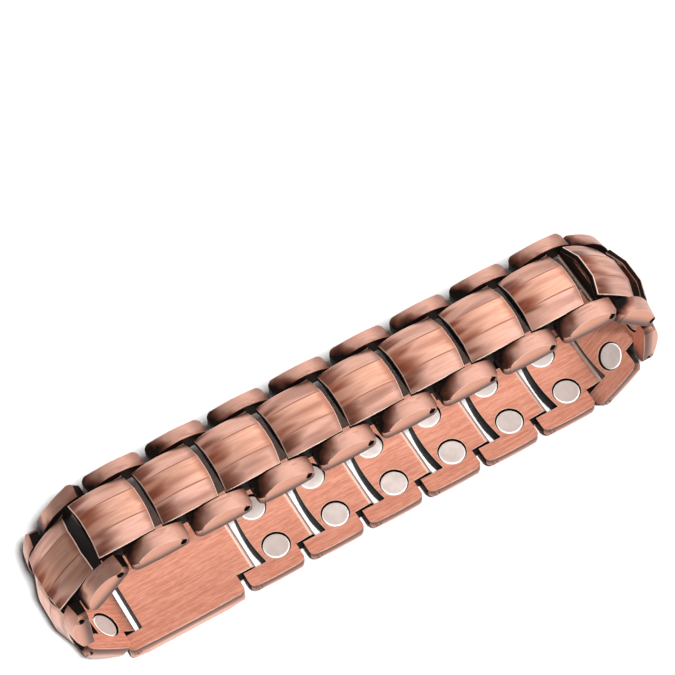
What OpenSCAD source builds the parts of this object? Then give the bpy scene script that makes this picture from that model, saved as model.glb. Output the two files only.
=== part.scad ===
// Double-row magnetic link bracelet, closed and lying on its outer face.
// Every link is one casting: a three-panel tile on a flat back, a tongue at one end and two side
// lugs at the other. The tongue of each link is pinned between the lugs of the link before it.
// Link axes: x runs from the tongue's pin to the fork's pin, y across the strip, z up from the back.

/* [Loop] */
// Distance between neighbouring hinge pins
pitch = 9.6; // [8.8:0.1:11]
// Links in the upper straight run
top_links = 8; // [6:1:10]
// Links in each end turn
turn_links = 3; // [2:1:4]
// Length of the clasp, in pitches
clasp_pitches = 2; // [2:1:3]
// Links of the lower run between the clasp and the turn after it
links_after_clasp = 0; // [0:1:3]

/* [Width] */
// Width of the whole strip, over the lugs
strip_w = 15.8; // [15:0.1:17]
// Width of each side lug
lug_w = 2.75; // [2.4:0.05:3]
// Clearance between a tile or tongue and the lugs beside it
side_gap = 0.3; // [0.2:0.05:0.4]
// Width of the tile's middle panel
middle_panel_w = 3.9; // [3:0.1:5]
// Bow of the tile's long sides, in plan
side_bow = 0.2; // [0.05:0.05:0.3]

/* [Tile] */
// Height of the tile's middle panel above the flat back
crown_h = 3.55; // [3.2:0.05:4.5]
// Fall from the middle panel to the tile's long sides
side_fall = 1; // [0.6:0.05:1.2]
// Fall of the tile's arch from its middle to its ends
tile_arch = 0.45; // [0.2:0.05:0.6]
// Thickness of the lip that overhangs the tongue
lip_t = 0.85; // [0.6:0.05:1]
// Reach of the lip past its own pin
lip_reach = 1.15; // [0.9:0.05:1.3]
// Hollow of the lip's edge, in plan
lip_bow = 0.3; // [0.1:0.05:0.4]
// Distance from the fork's pin back to the tile's bowed edge
fork_setback = 2.1; // [1.9:0.05:2.4]
// Bow of the tile's edge at the fork, in plan
fork_bow = 0.5; // [0.2:0.05:0.7]
// Height of the body's floor in the groove between tile and lugs
groove_floor_h = 1.75; // [1.6:0.05:2]

/* [Lugs] */
// Height of a lug's crest above the flat back
lug_h = 2.65; // [2.3:0.05:3]
// Fall of a lug's arch from its middle to its ends
lug_arch = 1.4; // [0.8:0.05:1.4]
// Fall of a lug's top from its inner side to its crest
lug_cross_fall = 0.4; // [0.1:0.05:0.6]
// Height of the upright part of a lug's outer wall
lug_wall_h = 1.2; // [0.9:0.05:1.3]
// Distance that a lug's outer wall leans in above its upright part
lug_lean = 0.5; // [0.2:0.05:0.7]
// Reach of the lugs past the fork's pin
lug_reach = 1.05; // [0.95:0.05:1.2]
// Space between the lugs of neighbouring links
lug_gap = 0.95; // [0.7:0.05:1.1]
// Radius of a lug's outer corners, in plan
lug_corner_r = 0.8; // [0.3:0.05:0.9]
// Bow of a lug's outer side, in plan
lug_bow = 0.15; // [0.05:0.05:0.25]

/* [Hinge] */
// Height of the hinge axis above the flat back, and radius of the tongue around it
pin_h = 1.15; // [1.05:0.05:1.3]
// Diameter of a hinge pin
pin_d = 0.9; // [0.7:0.05:1]
// Radial clearance of a hinge pin in its bore
pin_gap = 0.05; // [0.03:0.01:0.08]
// Distance from the strip's side in to the end of a hinge pin
pin_inset = 0.8; // [0.3:0.1:1.2]

/* [Magnets] */
// Diameter of a magnet disc
magnet_d = 3.8; // [3.2:0.1:4]
// Thickness of a magnet disc
magnet_t = 1.1; // [0.8:0.05:1.15]
// Chamfer of a magnet's edges
magnet_chamfer = 0.15; // [0.05:0.05:0.2]
// Distance between the two rows of magnets
magnet_row_gap = 7.1; // [6.6:0.1:7.4]
// Distance from the tile's edge at the fork to the centre of the magnets
magnet_setback = 3; // [2.8:0.1:3.4]
// Radial clearance of a magnet in its pocket
magnet_gap = 0.2; // [0.1:0.05:0.25]
// Depth of a magnet's face below the flat back
magnet_sunk = 0.2; // [0.05:0.05:0.3]
// Adhesive layer between a magnet and the floor of its pocket
glue_t = 0.05; // [0.03:0.01:0.1]

/* [Clasp] */
// Distance that the clasp's long sides lean in at its outer face
clasp_lean = 0.6; // [0.3:0.1:1]
// Length of the slope at each end of the clasp's outer face
clasp_slope = 3; // [2:0.5:4]

/* [Hidden] */
$fn = 96;
big = 100;

// Plan and section of a link
lug_start = lug_reach + lug_gap;
lug_end = pitch + lug_reach;
lug_mid = (lug_start + lug_end) / 2;
lug_inner_y = strip_w / 2 - lug_w;
tile_half_w = lug_inner_y - side_gap;
tile_start = -lip_reach;
tile_end = pitch - fork_setback;
tile_mid = (tile_start + tile_end) / 2;
tile_len = tile_end - tile_start;
panel_slope = atan(side_fall / (tile_half_w - middle_panel_w / 2));
lug_slope = atan(lug_cross_fall / (lug_w - lug_lean));
lug_lean_angle = atan(lug_lean / (lug_h - lug_wall_h));
magnet_x = tile_end - magnet_setback;
pocket_depth = magnet_sunk + magnet_t + glue_t;
bore_d = pin_d + 2 * pin_gap;

// Route of the strip: every station is a pin, and every piece spans some pitches
turn_angle = 180 / (turn_links + 1);
lower_links = top_links - clasp_pitches;
piece_count = top_links + lower_links + 2 * turn_links + 1;
clasp_slot = piece_count - 1 - turn_links - links_after_clasp;

function is_clasp(i) = i == clasp_slot;
function span(i) = pitch * (is_clasp(i) ? clasp_pitches : 1);
function link_number(i) = i < clasp_slot ? i + 1 : i;
// Heading of piece i: level in the upper run, then turning down and back along the lower run
function heading(i) =
    i < top_links ? 0
    : i < top_links + turn_links ? -turn_angle * (i - top_links + 1)
    : i < piece_count - turn_links ? -180
    : -180 - turn_angle * (i - piece_count + turn_links + 1);
function pin_at(i) =
    i == 0 ? [0, 0] : pin_at(i - 1) + span(i - 1) * [cos(heading(i - 1)), sin(heading(i - 1))];

pins = [for (i = [0 : piece_count - 1]) pin_at(i)];
mid_x = top_links * pitch / 2;
low_pin_z = min([for (p = pins) p[1]]);
// The outer face of the lower run stands on the ground at z = 0
lift = crown_h - pin_h - low_pin_z;

function two_digits(n) = str(n < 10 ? "0" : "", n);
function link_name(i) = str("link_", two_digits(link_number(i)));
function magnets_name(i) = str("magnets_", two_digits(link_number(i)));
link_slots = [for (i = [0 : piece_count - 1]) if (!is_clasp(i)) i];

// Radius of the arc with this chord and rise
function arc_r(chord, rise) = (chord * chord / 4 + rise * rise) / (2 * rise);

// A round bar along y through the point (x, z)
module bar_y(x, z, r, len) {
    translate([x, 0, z]) rotate([90, 0, 0]) cylinder(r = r, h = len, center = true);
}

// Everything below an arched surface that rises to z at (x, y) and slopes across the strip
module below_arch(x, y, z, r, slope) {
    translate([x, y, z]) rotate([slope, 0, 0]) translate([0, 0, -r]) rotate([90, 0, 0])
        cylinder(r = r, h = big, center = true);
}

// Everything below the tile's three arched panels, whose middle one rises to z
module below_panels(z) {
    r = arc_r(tile_len, tile_arch);
    intersection() {
        below_arch(tile_mid, 0, z, r, 0);
        below_arch(tile_mid, middle_panel_w / 2, z, r, -panel_slope);
        below_arch(tile_mid, -middle_panel_w / 2, z, r, panel_slope);
    }
}

// Plan of the tile: bowed long sides, a hollow edge at the lip and a bowed one at the fork
module tile_plan() {
    side_r = arc_r(tile_len, side_bow);
    fork_r = arc_r(2 * tile_half_w, fork_bow);
    lip_r = arc_r(2 * tile_half_w, lip_bow);
    difference() {
        intersection() {
            translate([tile_start - lip_bow, -tile_half_w]) square([tile_len + lip_bow, 2 * tile_half_w]);
            translate([tile_mid, tile_half_w - side_r]) circle(r = side_r);
            translate([tile_mid, side_r - tile_half_w]) circle(r = side_r);
            translate([tile_end - fork_r, 0]) circle(r = fork_r);
        }
        translate([tile_start - lip_r, 0]) circle(r = lip_r);
    }
}

// The tile with the tongue under its lip
module tile() {
    body_h = 2 * crown_h;
    intersection() {
        linear_extrude(body_h) tile_plan();
        below_panels(crown_h);
        union() {
            translate([0, -strip_w / 2, 0]) cube([tile_end, strip_w, body_h]);
            bar_y(0, pin_h, pin_h, strip_w);
            difference() {
                translate([tile_start - lip_bow, -strip_w / 2, 0])
                    cube([lip_reach + 2 * lip_bow, strip_w, body_h]);
                below_panels(crown_h - lip_t);
            }
        }
    }
}

// Plan of one lug on the +y side, with a bowed outer side and rounded outer corners
module lug_plan(from, to) {
    outer_y = strip_w / 2;
    side_r = arc_r(to - from, lug_bow);
    corner_y = outer_y - lug_bow - lug_corner_r;
    translate([from, lug_inner_y]) square([to - from, corner_y - lug_inner_y]);
    intersection() {
        translate([from + lug_corner_r, lug_inner_y]) square([to - from - 2 * lug_corner_r, lug_w]);
        translate([(from + to) / 2, outer_y - side_r]) circle(r = side_r);
    }
    for (x = [from + lug_corner_r, to - lug_corner_r])
        translate([x, corner_y]) circle(r = lug_corner_r);
}

// Everything inside a wall on the +y side that leans in above the height h
module inside_lean(h, angle) {
    translate([-big / 2, strip_w / 2, h]) rotate([angle, 0, 0]) translate([0, -big, -big / 2])
        cube(big);
}

// One arched lug on the +y side
module lug() {
    intersection() {
        linear_extrude(crown_h) lug_plan(lug_start, lug_end);
        below_arch(lug_mid, strip_w / 2 - lug_lean, lug_h, arc_r(lug_end - lug_start, lug_arch), -lug_slope);
        inside_lean(lug_wall_h, lug_lean_angle);
    }
}

// The flat body under the groove, from lug to lug
module link_base() {
    overlap = lug_w / 4;
    fork_r = arc_r(2 * tile_half_w, fork_bow);
    intersection() {
        translate([lug_start, -lug_inner_y - overlap, 0])
            cube([pitch, 2 * (lug_inner_y + overlap), groove_floor_h]);
        translate([tile_end - fork_r, 0, 0]) cylinder(r = fork_r, h = groove_floor_h);
    }
}

module link() {
    color("#c68a6c") difference() {
        union() {
            tile();
            link_base();
            lug();
            mirror([0, 1, 0]) lug();
        }
        bar_y(0, pin_h, bore_d / 2, 2 * strip_w);
        bar_y(pitch, pin_h, bore_d / 2, 2 * strip_w);
        for (side = [-1, 1]) translate([magnet_x, side * magnet_row_gap / 2, 0])
            cylinder(d = magnet_d + 2 * magnet_gap, h = 2 * pocket_depth, center = true);
    }
}

// One disc magnet with chamfered edges, its visible face downwards
module magnet() {
    rim_d = magnet_d - 2 * magnet_chamfer;
    translate([0, 0, magnet_sunk]) {
        cylinder(d1 = rim_d, d2 = magnet_d, h = magnet_chamfer);
        translate([0, 0, magnet_chamfer]) cylinder(d = magnet_d, h = magnet_t - magnet_chamfer);
    }
}

module magnet_pair() {
    color("#d2c8c2") for (side = [-1, 1])
        translate([magnet_x, side * magnet_row_gap / 2, 0]) magnet();
}

// The plain clasp: a bar with the same tongue and fork as a link, and a flat outer face
module clasp() {
    len = clasp_pitches * pitch;
    lean_angle = atan(clasp_lean / (crown_h - lug_wall_h));
    bar_end = len - fork_setback;
    fork_end = len + lug_reach;
    tongue_end = 2 * lug_start;
    overlap = lug_w / 4;
    color("#c68a6c") difference() {
        union() {
            intersection() {
                bar_y(0, pin_h, pin_h, 2 * tile_half_w);
                translate([-pin_h, -tile_half_w, 0]) cube([2 * pin_h, 2 * tile_half_w, 2 * pin_h]);
            }
            translate([0, -tile_half_w, 0]) cube([tongue_end, 2 * tile_half_w, 2 * pin_h]);
            intersection() {
                linear_extrude(crown_h) {
                    translate([lug_start, -lug_inner_y - overlap])
                        square([bar_end - lug_start, 2 * (lug_inner_y + overlap)]);
                    lug_plan(lug_start, fork_end);
                    mirror([0, 1]) lug_plan(lug_start, fork_end);
                }
                inside_lean(lug_wall_h, lean_angle);
                mirror([0, 1, 0]) inside_lean(lug_wall_h, lean_angle);
                rotate([90, 0, 0]) linear_extrude(2 * strip_w, center = true) polygon([
                    [lug_start, 0],
                    [lug_start, 2 * pin_h],
                    [lug_start + clasp_slope, crown_h],
                    [fork_end - clasp_slope, crown_h],
                    [fork_end, 2 * pin_h],
                    [fork_end, 0]]);
            }
        }
        bar_y(0, pin_h, bore_d / 2, 2 * strip_w);
        bar_y(len, pin_h, bore_d / 2, 2 * strip_w);
    }
}

// Moves a piece from link axes to its place in the loop
module in_loop(i) {
    translate([pins[i][0] - mid_x, 0, pins[i][1] + lift]) rotate([0, -heading(i), 0])
        translate([0, 0, -pin_h]) children();
}

// One pin in every hinge
module hinge_pins() {
    color("#5d4c46") for (p = pins)
        translate([p[0] - mid_x, 0, p[1] + lift]) rotate([90, 0, 0])
            cylinder(d = pin_d, h = strip_w - 2 * pin_inset, center = true);
}

for (i = link_slots) in_loop(i) link();
for (i = link_slots) in_loop(i) magnet_pair();
in_loop(clasp_slot) clasp();
hinge_pins();
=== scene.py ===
"""Looks of the closed magnetic link bracelet, lying on its outer face on a pale floor."""

import math

import bpy
from mathutils import Matrix, Vector

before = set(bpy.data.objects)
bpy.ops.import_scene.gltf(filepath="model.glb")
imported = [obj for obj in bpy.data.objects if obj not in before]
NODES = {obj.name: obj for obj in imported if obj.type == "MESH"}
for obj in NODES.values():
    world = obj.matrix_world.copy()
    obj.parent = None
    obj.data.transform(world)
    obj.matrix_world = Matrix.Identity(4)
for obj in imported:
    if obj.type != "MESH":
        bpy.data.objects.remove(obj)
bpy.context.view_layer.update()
MM = 0.001

# The strip's own sizes in millimetres and its counts, as in the model's source
PITCH = 9.6
TOP_LINKS, TURN_LINKS, CLASP_PITCHES = 8, 3, 2
CROWN_H, GROOVE_FLOOR_H, PIN_H, BORE_R = 3.55, 1.75, 1.15, 0.5
LIP_REACH, LIP_BOW, TILE_END, TILE_HALF_W, MIDDLE_HALF_W = 1.15, 0.3, 7.5, 4.85, 1.95
LUG_START, LUG_END, LUG_INNER_Y, LUG_OUTER_Y = 2.0, 10.65, 5.15, 7.9

# Rounding of the edges: widths, segments, and the widest seam of the imported meshes that is joined
LINK_BEVEL, CLASP_BEVEL, BEVEL_SEGMENTS, SEAM_GAP = 0.12, 0.14, 2, 0.001

# Bends that are shaded smooth when they are smaller, and rounded when they are larger
CREASE_BEND, BEVEL_BEND = math.radians(14), math.radians(30)

# Where less is rounded: the lugs' ends, the bores, and the edges of the backs, which get a share of the width
LUG_END_ROUND, BEVEL_TAPER, BORE_ZONE_R = 0.85, 1.5, 0.75
BACK_ZONE_H, BACK_BEVEL_SHARE = 0.3, 0.6

# Noises by their scale along, across and up per millimetre, detail and roughness. The copper's end with what
# each adds to the seed
COPPER_NOISES = {
    "coarse": ((0.14, 0.9, 0.9), 2, 0.5, 0),
    "medium": ((0.22, 3.0, 3.0), 2, 0.5, 11),
    "fine": ((0.5, 14.0, 14.0), 2, 0.6, 23),
    "scratch": ((0.9, 7.0, 7.0), 2, 0.6, 31),
    "cloud": ((0.35, 0.35, 0.35), 2, 0.5, 5),
    "smoke": ((0.07, 0.55, 0.55), 1, 0.4, 41),
    "streak": ((0.1, 0.65, 0.65), 1, 0.4, 57),
}
NICKEL_GRAIN = (5.0, 5.0, 5.0), 3, 0.6
NICKEL_CLOUD = (0.7, 0.7, 0.7), 2, 0.5
PIN_GRAIN = (8.0, 2.0, 8.0), 2, 0.5

# Seeds of the noise, times a piece's number for links and magnets, so that no two look alike
LINK_SEED, MAGNET_SEED, CLASP_SEED, PIN_SEED = 7.3, 3.1, 91.0, 4

# Where one kind of surface turns into another, in millimetres across the strip, up and from the pin
LUG_ACROSS = LUG_INNER_Y - 0.2, LUG_INNER_Y - 0.1
OUTERMOST_ACROSS = LUG_OUTER_Y - 0.3, LUG_OUTER_Y - 0.2
MIDDLE_ACROSS = MIDDLE_HALF_W + 0.1, MIDDLE_HALF_W - 0.1
GROOVE_Z = GROOVE_FLOOR_H + 0.2, GROOVE_FLOOR_H + 0.05
TILE_EDGE_Z = GROOVE_FLOOR_H + 0.2, GROOVE_FLOOR_H + 0.3
BORE_FROM_PIN = BORE_R + 0.03, BORE_R + 0.005

# The same by how far the normal points up or outwards
BACK_UP, BACK_EDGE_UP = (-0.5, -0.3), (-0.97, -0.93)
TOP_UP, OUTER_WALL_UP, OUTER_WALL_OUT = (0.15, 0.45), (0.8, 0.6), (0.15, 0.5)
TILE_EDGE_UP, LUG_EDGE_UP, LUG_EDGE_OUT, EDGE_UP = (0.15, 0.3), (0.4, 0.5), (0.2, 0.35), (0.92, 0.84)
CHAMFER_UP, CHAMFER_SIDE_UP = (-0.97, -0.9), (-0.3, -0.45)

# Patina, from 0 on bare copper to 1 where it is black, and the millimetres over or between which it fades.
# Behind the lip it is partly patina and partly painted shade, and the line along the panels' creases is
# painted shade
LIP_PATINA_AND_SHADE, LIP_FADE, LIP_FADE_VARIES = 0.58, 2.4, 6.0
TILE_END_DARK, TILE_END_FADE = 0.4, 4.0
CREASE_SHADE, CREASE_SHADE_FADE = 0.42, (0.03, 0.19)
LUG_START_DARK, LUG_START_X, LUG_START_VARIES = 0.95, (LUG_START + 4.7, LUG_START + 9.3), 4.5
LUG_END_DARK, LUG_END_X = 0.3, (LUG_END - 3.6, LUG_END - 0.3)
LUG_CORNER_DARK, LUG_CORNER_X = 0.5, (LUG_END - 10.6, LUG_END - 6.2)
LUG_TOP_DARK, LUG_TOP_ACROSS = (0.32, 0.14), (LUG_INNER_Y, LUG_OUTER_Y - 0.7)

# How far the edge of the lugs' patina shifts towards their start for each millimetre across
LUG_START_SLANT, LUG_CORNER_SLANT = 0.8, -1.2

# Wear and painted highlight: the rim of a lip and the share of patina left on it, and the share taken off the
# tile's bevels. Both are partly wear and partly painted highlight
LIP_RIM, LIP_RIM_LEFT, EDGE_WEAR_AND_HIGHLIGHT = (0.06, 0.2), 0.3, 0.8

# Steps that turn a noise into a share: two values of the noise, and what they give where it isn't 0 and 1
LIP_STREAKS, LIP_STROKES = (0.36, 0.62, 0.5, 1.15), (0.3, 0.6, 0.88, 1.0)
SMOKE_STREAKS, LUG_STROKES, BACK_STROKES = (0.35, 0.75, 0, 0.34), (0.3, 0.65), (0.7, 1.3)
TONE, WARMTH = (0.3, 0.7), (0.4, 0.7, 0, 0.5)

# How dark the patina and the painted shade are where their colour turns brown, then black, and where it stops
# being metallic
BROWN_DARK, BLACK_DARK, DULL_DARK = (0.0, 0.6), (0.5, 0.9), (0.7, 1.0)

# Shares of a second colour over the first, and the heights between which painted shade comes in on the outer
# walls. The edges' second colour is partly wear and partly painted highlight
LUG_TOP_SHARE, TILE_EDGE_SHARE, LUG_EDGE_SHARE, BACK_EDGE_SHARE = 0.45, 0.75, 0.25, 0.8
WALL_SHADE_SHARE, WALL_SHADE_HEIGHTS = 0.95, (1.9, 0.3)

# Finish of the metals: roughness, with what patina, the flat back and grain add to it, and metallic levels
COPPER_ROUGHNESS, PATINA_ROUGHNESS, BACK_ROUGHNESS, GRAIN_ROUGHNESS = 0.28, 0.14, 0.12, 0.12
NICKEL_ROUGHNESS, PIN_ROUGHNESS, COPPER_SPECULAR = 0.36, 0.5, 0.05
BACK_METALLIC, NICKEL_METALLIC, NICKEL_EDGE_METALLIC = 0.8, 0.7, 0.3

# Bump in millimetres, and how much of the copper's comes from each noise
COPPER_BUMP, NICKEL_BUMP, MEDIUM_RELIEF, FINE_RELIEF = 0.005, 0.006, 0.5, 0.35

# Half of the most that a pair of magnets turns to the worn colour
NICKEL_WEAR = 0.3

# Softboxes: name, where the light comes from, distance and size in metres, radiance, and whether it lights
# surfaces and shows in reflections
SOFTBOXES = (
    ("key", (-0.1, -0.515, 1.0), 1.33, (0.1, 0.1), 1360.0, True, False),
    ("fill", (0, 0, 1), 1.2, (2.0, 2.0), 0.07, True, False),
    ("overhead", (0.42, 0.14, 0.65), 0.79, (0.75, 1.4), 0.9, False, True),
    ("back", (0.25, 0.85, 0.5), 1.0, (1.0, 0.6), 0.6, False, True),
    ("front", (0.2, -0.85, 0.5), 1.0, (1.2, 0.3), 2.5, False, True),
)

# The surroundings that are reflected, dim on the left and bright on the right
SKY_COLOUR = (1, 0.985, 0.975, 1)
SKY_GRADIENT = {"From Min": -0.6, "From Max": 0.7, "To Min": 0.4, "To Max": 0.8}

# The floor: half of its side in metres, its grey and its roughness
FLOOR_HALF, FLOOR_GREY, FLOOR_ROUGHNESS = 2.0, 0.55, 0.9


def srgb(r, g, b):
    """A colour from its red, green and blue of 0 to 255."""

    def linear(v):
        v /= 255
        return v / 12.92 if v <= 0.04045 else ((v + 0.055) / 1.055) ** 2.4

    return (linear(r), linear(g), linear(b), 1.0)


# Colours of the metals. A pair is the darker and the lighter tone of one surface
SIDE_PANELS = srgb(216, 164, 146), srgb(226, 178, 162)
MIDDLE_PANEL = srgb(214, 159, 136), srgb(226, 174, 152)
FLAT_BACK = srgb(206, 136, 112), srgb(231, 168, 145)
# The third colour here is painted shade, the dark brown low on the outer walls
LUG_TOP, OUTER_WALL, OUTER_WALL_SHADE = srgb(194, 149, 133), srgb(209, 153, 132), srgb(92, 66, 60)
# Paler edges of the front and of the back: partly worn copper, partly painted highlight
FRONT_EDGE_WEAR_AND_HIGHLIGHT, BACK_EDGE_WEAR_AND_HIGHLIGHT = srgb(250, 226, 210), srgb(250, 222, 206)
# Brown and black patina, which also stand for painted shade in the grooves, walls, bores and creases and
# behind the lips
BROWN_PATINA_AND_SHADE, BROWN_PATINA_AND_SHADE_MIDDLE, BLACK_PATINA_AND_SHADE = srgb(130, 81, 66), srgb(148, 84, 64), srgb(11, 7, 6)
NICKEL = srgb(206, 196, 190), srgb(222, 213, 208)
# The last colour here is a painted highlight on the magnets' chamfer
NICKEL_WORN, NICKEL_CHAMFER_HIGHLIGHT = srgb(186, 175, 170), srgb(240, 236, 233)
PIN_STEEL = srgb(28, 22, 20), srgb(60, 48, 44)


def link_frames():
    """Turn about Y and origin of every piece's own axes, in the loop's order, and the clasp's slot."""
    turn = math.pi / (TURN_LINKS + 1)
    lower = TOP_LINKS - CLASP_PITCHES
    count = TOP_LINKS + lower + 2 * TURN_LINKS + 1
    clasp = count - 1 - TURN_LINKS
    headings = []
    for i in range(count):
        if i < TOP_LINKS:
            headings.append(0.0)
        elif i < TOP_LINKS + TURN_LINKS:
            headings.append(-turn * (i - TOP_LINKS + 1))
        elif i < count - TURN_LINKS:
            headings.append(-math.pi)
        else:
            headings.append(-math.pi - turn * (i - count + TURN_LINKS + 1))
    pins = [Vector((0, 0, 0))]
    for i in range(count - 1):
        length = PITCH * (CLASP_PITCHES if i == clasp else 1)
        pins.append(pins[-1] + length * Vector((math.cos(headings[i]), 0, math.sin(headings[i]))))
    lift = CROWN_H - PIN_H - min(p.z for p in pins)
    middle = TOP_LINKS * PITCH / 2
    frames = []
    for pin, heading in zip(pins, headings):
        up = Vector((-math.sin(heading), 0, math.cos(heading)))
        frames.append((-heading, pin + Vector((-middle, 0, lift)) - PIN_H * up))
    return frames, clasp


class Graph:
    """Short calls that add nodes to a material."""

    def __init__(self, name):
        self.material = bpy.data.materials.new(name)
        self.material.use_nodes = True
        self.tree = self.material.node_tree
        self.shader = self.tree.nodes["Principled BSDF"]

    def put(self, kind, inputs=(), out=0, **settings):
        """Adds a node, feeds its inputs by name or number, and returns one of its outputs."""
        node = self.tree.nodes.new("ShaderNode" + kind)
        for key, value in settings.items():
            setattr(node, key, value)
        for key, value in dict(inputs).items():
            self.feed(node.inputs[key], value)
        return node.outputs[out]

    def feed(self, socket, value):
        """Links a socket to another node's output, or sets it to a value."""
        if isinstance(value, bpy.types.NodeSocket):
            self.tree.links.new(value, socket)
        else:
            socket.default_value = value

    def finish(self, sockets):
        """Feeds the shader's sockets by name and returns the material."""
        for key, value in sockets.items():
            self.feed(self.shader.inputs[key], value)
        return self.material

    def math(self, operation, a, b=0.0, c=0.0):
        return self.put("Math", {0: a, 1: b, 2: c}, operation=operation)

    def many(self, operation, *values):
        """One operation over any number of values."""
        result = values[0]
        for value in values[1:]:
            result = self.math(operation, result, value)
        return result

    def scaled(self, value, factor, offset=0.0):
        """The value times a factor, plus an offset."""
        return self.math("MULTIPLY_ADD", value, factor, offset)

    def rest(self, value):
        """What is left of 1 when the value is taken away."""
        return self.math("SUBTRACT", 1.0, value)

    def step(self, value, low, high, to_low=0.0, to_high=1.0):
        """A smooth step of value from to_low at low to to_high at high."""
        return self.put(
            "MapRange",
            {"Value": value, "From Min": low, "From Max": high, "To Min": to_low, "To Max": to_high},
            interpolation_type="SMOOTHSTEP",
        )

    def blend(self, factor, a, b):
        """Colour a where the factor is 0 and b where it is 1."""
        return self.put("Mix", {0: factor, 6: a, 7: b}, out=2, data_type="RGBA")

    def noise(self, vector, scale, detail, roughness, seed):
        """Noise over a vector that is stretched by scale along each axis."""
        offset = (seed, 1.7 * seed, 0.6 * seed)
        stretched = self.put("VectorMath", {0: vector, 1: scale, 2: offset}, operation="MULTIPLY_ADD")
        inputs = {"Vector": stretched, "Scale": 1.0, "Detail": detail, "Roughness": roughness}
        return self.put("TexNoise", inputs)

    def bump(self, height, depth):
        """A bump of the given depth in millimetres."""
        return self.put("Bump", {"Height": height, "Distance": depth * MM, "Strength": 1.0})


def parts(graph, vector):
    """A vector's x, y and z."""
    node = graph.tree.nodes.new("ShaderNodeSeparateXYZ")
    graph.feed(node.inputs[0], vector)
    return node.outputs[0], node.outputs[1], node.outputs[2]


def own_axes(graph, turn, origin):
    """Position in millimetres and normal, both in a piece's own axes."""
    place = graph.put("TexCoord", out="Object")
    local = graph.put(
        "Mapping",
        {"Vector": place, "Location": origin * MM, "Rotation": (0, turn, 0), "Scale": (MM, MM, MM)},
        vector_type="TEXTURE",
    )
    facing = graph.put("NewGeometry", out="True Normal")
    normal = graph.put("Mapping", {"Vector": facing, "Rotation": (0, -turn, 0)}, vector_type="VECTOR")
    return local, normal


class LinkSurface:
    """Where a point of a link is: x, across and z in the link's own millimetres, and masks from 0 to 1.

    The masks are read from those and from the normal, whose nz is 1 on the crown and -1 on the flat back.
    """

    def __init__(self, g, turn, origin, fork_x):
        self.local, normal = own_axes(g, turn, origin)
        x, y, z = parts(g, self.local)
        ny, nz = parts(g, normal)[1:]
        across = g.math("ABSOLUTE", y)
        outwards = g.math("MULTIPLY", ny, g.math("SIGN", y))
        self.x, self.z, self.across = x, z, across

        # The flat back, the bevels round it, the lugs and what lies between them
        self.back = g.step(nz, *BACK_UP, 1, 0)
        self.back_edge = g.math("MULTIPLY", self.back, g.step(nz, *BACK_EDGE_UP))
        self.lug = g.step(across, *LUG_ACROSS)
        self.tile = g.rest(self.lug)
        self.middle = g.math("MULTIPLY", self.tile, g.step(across, *MIDDLE_ACROSS))

        # The outer side walls, the other walls, and the grooves between the tiles
        sideways = g.math("MAXIMUM", g.step(outwards, *OUTER_WALL_OUT), g.step(across, *OUTERMOST_ACROSS))
        self.outer_wall = g.many("MULTIPLY", self.lug, sideways, g.step(nz, *OUTER_WALL_UP))
        steep = g.rest(g.step(nz, *TOP_UP))
        self.wall = g.math("MULTIPLY", steep, g.rest(self.outer_wall))
        self.groove = g.math("MULTIPLY", g.step(z, *GROOVE_Z), self.tile)

        # The bevels of the tile and of the lugs' outer sides
        tile_edge = g.many("MULTIPLY", self.tile, g.step(z, *TILE_EDGE_Z), g.step(nz, *TILE_EDGE_UP))
        lug_edge = g.many("MULTIPLY", self.lug, g.step(outwards, *LUG_EDGE_OUT), g.step(nz, *LUG_EDGE_UP))
        self.edge = g.math("MULTIPLY", g.math("ADD", tile_edge, lug_edge), g.step(nz, *EDGE_UP))

        # The distance behind the tile's hollow lip, and the bore of the fork's pin
        lip_curve = g.scaled(g.math("MULTIPLY", across, across), LIP_BOW / TILE_HALF_W**2, LIP_REACH)
        self.from_lip = g.math("ADD", lip_curve, x)
        off_x, off_z = g.math("SUBTRACT", x, fork_x), g.math("SUBTRACT", z, PIN_H)
        from_pin = g.math("SQRT", g.math("MULTIPLY_ADD", off_x, off_x, g.math("MULTIPLY", off_z, off_z)))
        self.bore = g.step(from_pin, *BORE_FROM_PIN)


def tile_patina_and_shade(g, surface, noise):
    """Dark behind the lip, partly patina and partly painted shade, at the far end, in smoky streaks, and a
    line of painted shade in the creases between the panels.
    """
    # Behind the lip: partly patina, partly painted shade. Its rim keeps less, partly wear and partly painted
    # highlight
    behind_lip = g.many(
        "MULTIPLY",
        g.step(surface.from_lip, 0.0, g.scaled(noise["coarse"], LIP_FADE_VARIES, LIP_FADE), LIP_PATINA_AND_SHADE, 0),
        g.step(surface.from_lip, *LIP_RIM, LIP_RIM_LEFT, 1.0),
        g.step(noise["streak"], *LIP_STREAKS),
        g.step(noise["medium"], *LIP_STROKES),
    )
    far_start = g.scaled(noise["smoke"], -TILE_END_FADE, TILE_END)
    far_end = g.step(surface.x, far_start, TILE_END, 0, TILE_END_DARK)
    # A thin line of painted shade along each crease between the panels
    from_crease = g.math("ABSOLUTE", g.math("SUBTRACT", surface.across, MIDDLE_HALF_W))
    crease_shade = g.step(from_crease, *CREASE_SHADE_FADE, CREASE_SHADE, 0)
    smoky = g.step(noise["smoke"], *SMOKE_STREAKS)
    return g.math("MULTIPLY", g.many("MAXIMUM", behind_lip, far_end, crease_shade, smoky), surface.tile)


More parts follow.
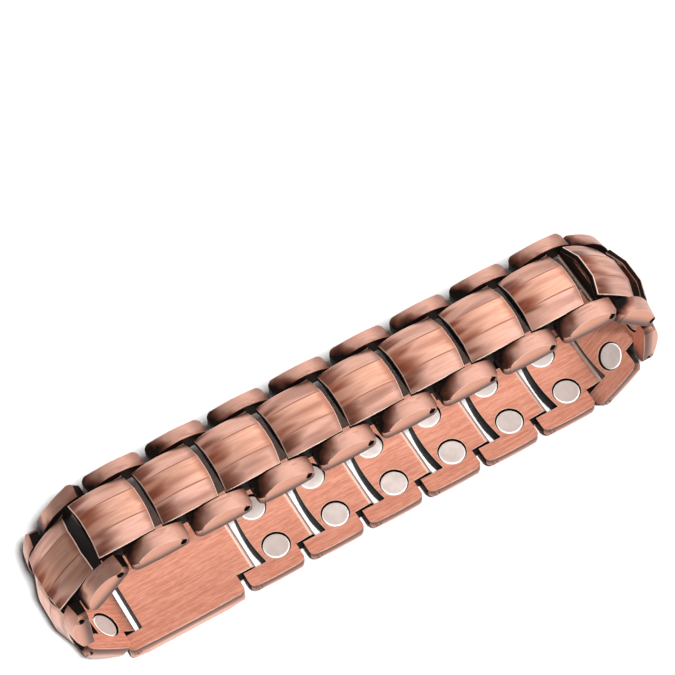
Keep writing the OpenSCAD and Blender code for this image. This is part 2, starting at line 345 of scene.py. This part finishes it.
def lug_patina(g, surface, noise):
    """Dark at the lugs' start, less so at their end's inner corner and on top, and none on outer walls."""
    x, across = surface.x, surface.across
    waver = g.math("SUBTRACT", noise["cloud"], 0.5)
    slanted = g.scaled(waver, LUG_START_VARIES, g.scaled(across, LUG_START_SLANT, x))
    start = g.step(slanted, *LUG_START_X, LUG_START_DARK, 0)
    end = g.step(x, *LUG_END_X, 0, LUG_END_DARK)
    corner = g.step(g.scaled(across, LUG_CORNER_SLANT, x), *LUG_CORNER_X, 0, LUG_CORNER_DARK)
    top = g.step(across, *LUG_TOP_ACROSS, *LUG_TOP_DARK)
    top = g.math("MULTIPLY", top, g.step(noise["medium"], *LUG_STROKES))
    darkest = g.many("MAXIMUM", start, end, corner, top)
    return g.many("MULTIPLY", darkest, surface.lug, g.rest(surface.outer_wall))


def copper_colour(g, surface, noise, dark):
    """Bare copper by the kind of surface, with paler edges that are partly worn and partly painted highlight,
    painted shade low on the outer walls, patina and painted shade that turn brown and then black, and the
    flat back.
    """
    tone = g.step(noise["medium"], *TONE)
    warmth = g.math("MAXIMUM", surface.middle, g.step(noise["cloud"], *WARMTH))
    copper = g.blend(warmth, g.blend(tone, *SIDE_PANELS), g.blend(tone, *MIDDLE_PANEL))
    copper = g.blend(g.math("MULTIPLY", surface.lug, LUG_TOP_SHARE), copper, LUG_TOP)
    copper = g.blend(surface.outer_wall, copper, OUTER_WALL)
    # Painted shade: the outer walls turn dark brown towards the flat back
    low = g.step(surface.z, *WALL_SHADE_HEIGHTS, 0, WALL_SHADE_SHARE)
    copper = g.blend(g.math("MULTIPLY", surface.outer_wall, low), copper, OUTER_WALL_SHADE)
    # The bevels' paler colour is partly wear and partly painted highlight
    worn_lit_share = g.scaled(surface.lug, LUG_EDGE_SHARE - TILE_EDGE_SHARE, TILE_EDGE_SHARE)
    copper = g.blend(g.math("MULTIPLY", surface.edge, worn_lit_share), copper, FRONT_EDGE_WEAR_AND_HIGHLIGHT)
    brown = g.blend(surface.middle, BROWN_PATINA_AND_SHADE, BROWN_PATINA_AND_SHADE_MIDDLE)
    front = g.blend(g.step(dark, *BLACK_DARK), g.blend(g.step(dark, *BROWN_DARK), copper, brown), BLACK_PATINA_AND_SHADE)
    strokes = g.step(g.math("ADD", noise["medium"], noise["scratch"]), *BACK_STROKES)
    # The back's bevels too: partly wear, partly painted highlight
    back_edge = g.math("MULTIPLY", surface.back_edge, BACK_EDGE_SHARE)
    back = g.blend(back_edge, g.blend(strokes, *FLAT_BACK), BACK_EDGE_WEAR_AND_HIGHLIGHT)
    return g.blend(surface.back, front, back)


def link_material(name, turn, origin, seed, fork_x=PITCH):
    """Antique copper, brushed along the strip, with black recesses that are partly oxide and partly painted
    shade, bright edges that are partly worn and partly painted highlight, and a flat back.
    """
    g = Graph(name)
    surface = LinkSurface(g, turn, origin, fork_x)
    noise = {
        key: g.noise(surface.local, scale, detail, roughness, seed + offset)
        for key, (scale, detail, roughness, offset) in COPPER_NOISES.items()
    }
    # Less patina on the tile's bevels: partly wear, partly painted highlight
    away_from_worn_lit_edges = g.scaled(surface.edge, -EDGE_WEAR_AND_HIGHLIGHT, 1.0)
    tile_dark = g.math("MULTIPLY", tile_patina_and_shade(g, surface, noise), away_from_worn_lit_edges)
    lug_dark = lug_patina(g, surface, noise)
    # Grooves, walls and bores go black: partly oxide in the hollows, partly painted shade
    dark = g.many("MAXIMUM", tile_dark, lug_dark, surface.groove, surface.wall, surface.bore)
    dark = g.math("MULTIPLY", dark, g.rest(surface.back))
    metal = g.scaled(surface.back, BACK_METALLIC - 1.0, 1.0)
    gloss = g.scaled(surface.back, BACK_ROUGHNESS, g.scaled(dark, PATINA_ROUGHNESS, COPPER_ROUGHNESS))
    height = g.scaled(noise["medium"], MEDIUM_RELIEF, g.math("MULTIPLY", noise["fine"], FINE_RELIEF))
    return g.finish({
        "Base Color": copper_colour(g, surface, noise, dark),
        "Metallic": g.math("MULTIPLY", metal, g.step(dark, *DULL_DARK, 1.0, 0.0)),
        "Specular IOR Level": COPPER_SPECULAR,
        "Roughness": g.scaled(noise["fine"], GRAIN_ROUGHNESS, gloss),
        "Normal": g.bump(height, COPPER_BUMP),
    })


def magnet_material(name, turn, origin, seed):
    """Satin nickel, with a painted highlight on the chamfer round the face. Some pairs are a little darker
    than others.
    """
    g = Graph(name)
    local, normal = own_axes(g, turn, origin)
    nz = parts(g, normal)[2]
    grain = g.noise(local, *NICKEL_GRAIN, seed)
    cloud = g.noise(local, *NICKEL_CLOUD, seed + 5)
    # The chamfer is painted near white and less metallic: a painted highlight
    chamfer = g.math("MULTIPLY", g.step(nz, *CHAMFER_UP), g.step(nz, *CHAMFER_SIDE_UP))
    wear = NICKEL_WEAR * (1 + math.sin(2.4 * seed))
    face = g.blend(wear, g.blend(g.step(cloud, *TONE), *NICKEL), NICKEL_WORN)
    return g.finish({
        "Base Color": g.blend(chamfer, face, NICKEL_CHAMFER_HIGHLIGHT),
        "Metallic": g.scaled(chamfer, NICKEL_EDGE_METALLIC - NICKEL_METALLIC, NICKEL_METALLIC),
        "Roughness": g.scaled(grain, GRAIN_ROUGHNESS, NICKEL_ROUGHNESS),
        "Normal": g.bump(grain, NICKEL_BUMP),
    })


def pin_material():
    """Dark steel. The pins lie along Y, and so does their grain."""
    g = Graph("dark_pin")
    place = g.put("VectorMath", {0: g.put("TexCoord", out="Object"), "Scale": 1 / MM}, operation="SCALE")
    grain = g.noise(place, *PIN_GRAIN, PIN_SEED)
    return g.finish({"Base Color": g.blend(grain, *PIN_STEEL), "Metallic": 1.0, "Roughness": PIN_ROUGHNESS})


def edge_nodes(turn, origin, lug_end):
    """Geometry nodes that keep a mesh's creases crisp and mark the edges that a bevel rounds.

    Bends below CREASE_BEND are shaded smooth. Bends above BEVEL_BEND are marked on the tile, and on the lugs
    away from their rounded ends and the bore of the fork's pin.
    """
    tree = bpy.data.node_groups.new("edges", "GeometryNodeTree")
    for direction in ("INPUT", "OUTPUT"):
        tree.interface.new_socket("Geometry", in_out=direction, socket_type="NodeSocketGeometry")
    add, link = tree.nodes.new, tree.links.new

    def math_node(operation, *values, clamp=False):
        node = add("ShaderNodeMath")
        node.operation = operation
        node.use_clamp = clamp
        for socket, value in zip(node.inputs, values):
            if isinstance(value, bpy.types.NodeSocket):
                link(value, socket)
            else:
                socket.default_value = value
        return node.outputs[0]

    start, end = add("NodeGroupInput"), add("NodeGroupOutput")
    bare = add("GeometryNodeRemoveAttribute")
    bare.inputs["Name"].default_value = "custom_normal"
    faces, edges = add("GeometryNodeSetShadeSmooth"), add("GeometryNodeSetShadeSmooth")
    edges.domain = "EDGE"
    mark = add("GeometryNodeStoreNamedAttribute")
    mark.domain = "EDGE"
    mark.inputs["Name"].default_value = "bevel_weight_edge"

    offset, own = add("ShaderNodeVectorMath"), add("ShaderNodeVectorRotate")
    offset.operation = "SUBTRACT"
    offset.inputs[1].default_value = origin * MM
    own.rotation_type = "Y_AXIS"
    own.inputs["Angle"].default_value = -turn
    split = add("ShaderNodeSeparateXYZ")
    link(add("GeometryNodeInputPosition").outputs[0], offset.inputs[0])
    link(offset.outputs[0], own.inputs["Vector"])
    link(own.outputs[0], split.inputs[0])
    x, y, z = split.outputs
    bend = add("GeometryNodeInputMeshEdgeAngle").outputs["Unsigned Angle"]

    on_tile = math_node("LESS_THAN", math_node("ABSOLUTE", y), (TILE_HALF_W + LUG_INNER_Y) / 2 * MM)
    per_metre = 1 / BEVEL_TAPER / MM
    at_start = -(LUG_START + LUG_END_ROUND) / BEVEL_TAPER
    at_end = (lug_end - LUG_END_ROUND) / BEVEL_TAPER
    from_start = math_node("MULTIPLY_ADD", x, per_metre, at_start, clamp=True)
    to_end = math_node("MULTIPLY_ADD", x, -per_metre, at_end, clamp=True)
    pin_x = math_node("SUBTRACT", x, (lug_end - LUG_END + PITCH) * MM)
    pin_z = math_node("SUBTRACT", z, PIN_H * MM)
    squares = math_node("ADD", math_node("MULTIPLY", pin_x, pin_x), math_node("MULTIPLY", pin_z, pin_z))
    off_bore = math_node("GREATER_THAN", math_node("SQRT", squares), BORE_ZONE_R * MM)
    on_lug = math_node("MULTIPLY", math_node("MULTIPLY", from_start, to_end), off_bore)
    by_back = math_node("LESS_THAN", z, BACK_ZONE_H * MM)
    share = math_node("MULTIPLY_ADD", by_back, BACK_BEVEL_SHARE - 1.0, 1.0)
    sharp = math_node("GREATER_THAN", bend, BEVEL_BEND)
    weight = math_node("MULTIPLY", math_node("MAXIMUM", on_tile, on_lug), sharp)
    weight = math_node("MULTIPLY", weight, share)

    link(start.outputs[0], bare.inputs["Geometry"])
    link(bare.outputs[0], faces.inputs["Geometry"])
    link(faces.outputs[0], edges.inputs["Geometry"])
    link(math_node("LESS_THAN", bend, CREASE_BEND), edges.inputs["Shade Smooth"])
    link(edges.outputs[0], mark.inputs["Geometry"])
    link(weight, mark.inputs["Value"])
    link(mark.outputs[0], end.inputs[0])
    return tree


def soften_edges(piece, turn, origin, width, lug_end=LUG_END):
    """Joins the imported mesh along its seams, keeps its creases crisp and rounds its edges."""
    weld = piece.modifiers.new("weld", "WELD")
    weld.merge_threshold = SEAM_GAP * MM
    piece.modifiers.new("edges", "NODES").node_group = edge_nodes(turn, origin, lug_end)
    bevel = piece.modifiers.new("bevel", "BEVEL")
    bevel.width = width * MM
    bevel.segments = BEVEL_SEGMENTS
    bevel.limit_method = "WEIGHT"
    bevel.harden_normals = True
    bevel.use_clamp_overlap = False


def paint(piece, material):
    for slot in piece.material_slots:
        slot.material = material


def dress():
    """Gives every piece its material, and the links and the clasp their rounded edges."""
    frames, clasp_slot = link_frames()
    number = 0
    for slot, (turn, origin) in enumerate(frames):
        if slot == clasp_slot:
            copper = link_material("clasp_copper", turn, origin, CLASP_SEED, CLASP_PITCHES * PITCH)
            paint(NODES["clasp"], copper)
            soften_edges(NODES["clasp"], turn, origin, CLASP_BEVEL, LUG_END + (CLASP_PITCHES - 1) * PITCH)
            continue
        number += 1
        name = f"{number:02d}"
        copper = link_material("link_copper_" + name, turn, origin, LINK_SEED * number)
        paint(NODES["link_" + name], copper)
        soften_edges(NODES["link_" + name], turn, origin, LINK_BEVEL)
        nickel = magnet_material("nickel_" + name, turn, origin, MAGNET_SEED * number)
        paint(NODES["magnets_" + name], nickel)
    paint(NODES["hinge_pins"], pin_material())


def make_camera():
    """The photograph's viewing angle, over the upper run.

    The anchor is a point on the upper run's flat backs. It is seen at a place that is given from the middle
    of the frame, in the axes of a floor that is square to the view. The focal length is in the photograph's
    pixels.
    """
    elevation, roll, turn = math.radians(58.0), math.radians(-5.556), math.radians(25.187)
    focal_px, frame_px, sensor, distance = 3166.997, 675, 36, 437.635
    anchor, anchor_seen = Vector((-PITCH, 0, 24.43)), Vector((-8.837, -14.992, 0))
    right = Vector((1, 0, 0))
    ahead = Vector((0, math.cos(elevation), -math.sin(elevation)))
    up = right.cross(ahead)
    across = math.cos(roll) * right + math.sin(roll) * up
    upward = -math.sin(roll) * right + math.cos(roll) * up
    back_turn = Matrix.Rotation(-turn, 3, "Z")
    place = back_turn @ (-ahead * distance - anchor_seen) + anchor
    columns = [back_turn @ across, back_turn @ upward, back_turn @ -ahead]
    camera = bpy.data.objects.new("camera", bpy.data.cameras.new("camera"))
    camera.matrix_world = Matrix.Translation(place * MM) @ Matrix(columns).transposed().to_4x4()
    camera.data.sensor_width = sensor
    camera.data.lens = focal_px / frame_px * sensor
    camera.data.clip_start, camera.data.clip_end = 0.01, 10
    bpy.context.scene.collection.objects.link(camera)
    bpy.context.scene.camera = camera


def softbox(name, towards, distance, size, radiance, diffuse, gloss):
    """A rectangular light that faces the object from the direction towards, with the given radiance."""
    data = bpy.data.lights.new(name, "AREA")
    data.shape, data.size, data.size_y = "RECTANGLE", size[0], size[1]
    data.energy = radiance * math.pi * size[0] * size[1]
    light = bpy.data.objects.new(name, data)
    direction = Vector(towards).normalized()
    light.location = direction * distance
    light.rotation_mode = "QUATERNION"
    light.rotation_quaternion = direction.to_track_quat("Z", "Y")
    light.visible_diffuse = diffuse
    light.visible_glossy = gloss
    bpy.context.scene.collection.objects.link(light)


def make_sky(scene):
    """Surroundings that only show in reflections, brighter towards +X."""
    world = bpy.data.worlds.new("studio")
    scene.world = world
    world.use_nodes = True
    world.cycles_visibility.diffuse = False
    tree = world.node_tree
    background = tree.nodes["Background"]
    direction = tree.nodes.new("ShaderNodeTexCoord").outputs["Generated"]
    split = tree.nodes.new("ShaderNodeSeparateXYZ")
    tree.links.new(direction, split.inputs[0])
    side = tree.nodes.new("ShaderNodeMapRange")
    side.interpolation_type = "SMOOTHSTEP"
    for key, value in SKY_GRADIENT.items():
        side.inputs[key].default_value = value
    tree.links.new(split.outputs[0], side.inputs["Value"])
    tree.links.new(side.outputs[0], background.inputs["Strength"])
    background.inputs["Color"].default_value = SKY_COLOUR


def make_floor(scene):
    h = FLOOR_HALF
    mesh = bpy.data.meshes.new("floor")
    mesh.from_pydata([(-h, -h, 0), (h, -h, 0), (h, h, 0), (-h, h, 0)], [], [(0, 1, 2, 3)])
    floor = bpy.data.objects.new("floor", mesh)
    grey = (FLOOR_GREY, FLOOR_GREY, FLOOR_GREY, 1)
    mesh.materials.append(Graph("pale_floor").finish({"Base Color": grey, "Roughness": FLOOR_ROUGHNESS}))
    scene.collection.objects.link(floor)


def make_studio():
    scene = bpy.context.scene
    make_sky(scene)
    for row in SOFTBOXES:
        softbox(*row)
    make_floor(scene)
    scene.view_settings.view_transform = "Standard"


dress()
make_camera()
make_studio()
